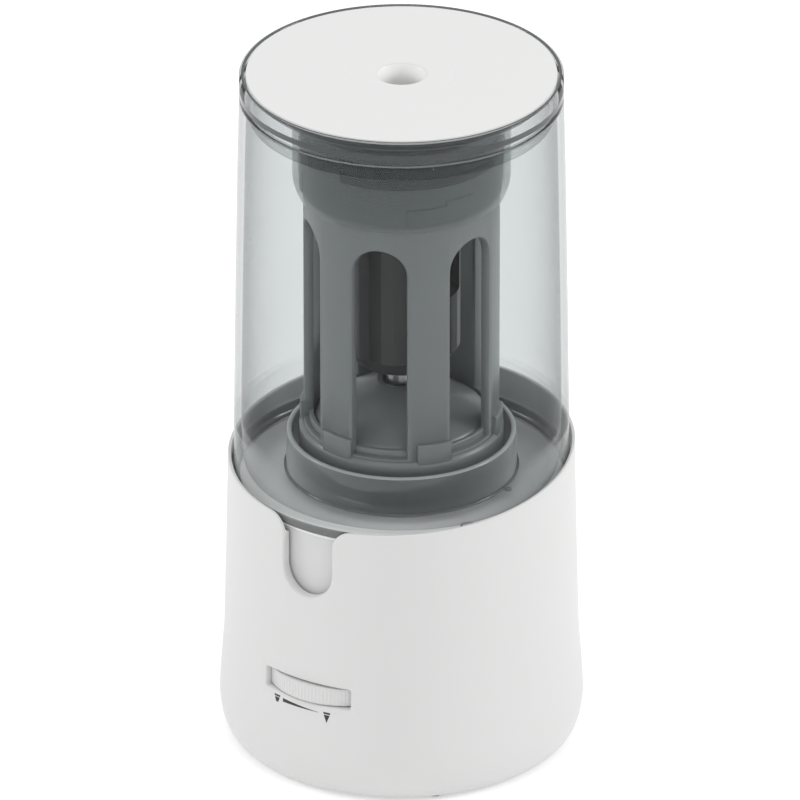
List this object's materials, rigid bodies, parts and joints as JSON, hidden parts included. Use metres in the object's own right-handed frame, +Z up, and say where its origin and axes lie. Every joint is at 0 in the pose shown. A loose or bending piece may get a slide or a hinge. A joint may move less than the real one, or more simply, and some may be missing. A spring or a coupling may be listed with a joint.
{
  "type": "battery pencil sharpener",
  "caption": "Upright battery pencil sharpener with a smoky lift-off shavings bin, a cutter cage, a thumbwheel for the point and a slanted white base.",
  "frame": {"origin": "middle of the underside, on the surface it stands on", "axes": "+Z up along the pencil's axis; the thumb notch and the thumbwheel face -Y"},
  "size_m": [0.0784, 0.0784, 0.155],
  "materials": {
    "white_shell": "satin moulded white ABS",
    "white_inner": "plain moulded white ABS",
    "smoky_clear": "clear smoky polystyrene, gloss",
    "gray_plastic": "satin mid-gray plastic",
    "dark_plastic": "dark moulded plastic",
    "steel": "plain steel",
    "brass": "turned brass",
    "nylon": "natural nylon",
    "rubber": "matt rubber",
    "cell_jacket": "plain dark jacket"
  },
  "bodies": {
    "base": {"outer_shell": "white_shell", "inner_drum": "white_inner", "chassis_plate": "white_inner", "wheel_axle": "steel", "guide_post": "steel", "cage": "gray_plastic", "head_cap": "gray_plastic", "cage_floor": "gray_plastic", "cage_screw_1": "steel", "cage_screw_2": "steel", "cage_screw_3": "steel", "ring_gear": "steel", "head_bush": "nylon", "deck_bush": "brass", "gear_plate": "nylon", "gear_axle": "steel", "motor": "steel", "motor_screw_1": "steel", "motor_screw_2": "steel", "cell_1": "cell_jacket", "cell_2": "cell_jacket", "cell_3": "cell_jacket", "cell_4": "cell_jacket", "top_bridge": "steel", "terminal_left": "steel", "terminal_right": "steel", "interlock_switch": "dark_plastic", "foot_1": "rubber", "foot_2": "rubber", "foot_3": "rubber", "foot_4": "rubber"},
    "bin": {"shavings_bin": "smoky_clear"},
    "lid": {"lid_rim": "smoky_clear", "top_disc": "white_shell"},
    "carrier": {"cutter_carrier": "dark_plastic", "cutter_shaft": "steel", "drive_tube": "steel", "carrier_gear": "nylon"},
    "cutter": {"cutter_roller": "steel", "cutter_pinion": "steel"},
    "compound": {"compound_gear": "nylon"},
    "motor_rotor": {"motor_shaft": "steel", "motor_pinion": "brass"},
    "wheel": {"thumb_wheel": "white_shell"},
    "carriage": {"stop_carriage": "nylon", "start_switch": "dark_plastic"},
    "rod": {"stop_rod": "steel", "rod_spring": "steel"},
    "door": {"battery_door": "white_inner", "door_bridge_left": "steel", "door_bridge_right": "steel"},
    "interlock": {"interlock_pin": "dark_plastic"}
  },
  "joints": [
    {"name": "bin_lift", "type": "slide", "parent": "base", "child": "bin", "axis": [0, 0, 1], "range_m": [0, 0.1]},
    {"name": "lid_pull", "type": "slide", "parent": "bin", "child": "lid", "axis": [0, 0, 1], "range_m": [0, 0.03]},
    {"name": "carrier_spin", "type": "hinge", "parent": "base", "child": "carrier", "pos_m": [0, 0, 0.109], "axis": [0, 0, 1], "continuous": true},
    {"name": "cutter_spin", "type": "hinge", "parent": "carrier", "child": "cutter", "pos_m": [0.00494, 0, 0.109], "axis": [0.1951, 0, 0.9808], "continuous": true},
    {"name": "compound_spin", "type": "hinge", "parent": "base", "child": "compound", "pos_m": [0.00555, -0.00961, 0.055], "axis": [0, 0, 1], "continuous": true},
    {"name": "motor_spin", "type": "hinge", "parent": "base", "child": "motor_rotor", "pos_m": [0, -0.0173, 0.055], "axis": [0, 0, 1], "continuous": true},
    {"name": "wheel_turn", "type": "hinge", "parent": "base", "child": "wheel", "pos_m": [0, -0.0214, 0.024], "axis": [0, 0, 1], "range_deg": [-40, 40]},
    {"name": "stop_adjust", "type": "slide", "parent": "base", "child": "carriage", "axis": [0, 0, 1], "range_m": [-0.00081, 0.00081]},
    {"name": "stop_press", "type": "slide", "parent": "carriage", "child": "rod", "axis": [0, 0, 1], "range_m": [-0.0008, 0], "stiffness_N_per_m": 100, "springref_m": 0.002},
    {"name": "door_release", "type": "slide", "parent": "base", "child": "door", "axis": [0, 0, -1], "range_m": [0, 0.02]},
    {"name": "interlock_press", "type": "slide", "parent": "base", "child": "interlock", "axis": [0, 0, 1], "range_m": [-0.0008, 0], "stiffness_N_per_m": 40, "springref_m": 0.001}
  ],
  "couplings": [
    {"joint": "cutter_spin", "follows": "carrier_spin", "ratio": -3},
    {"joint": "compound_spin", "follows": "carrier_spin", "ratio": -2.7},
    {"joint": "motor_spin", "follows": "carrier_spin", "ratio": 7.56},
    {"joint": "stop_adjust", "follows": "wheel_turn", "m_per_rad": 0.0011459}
  ]
}
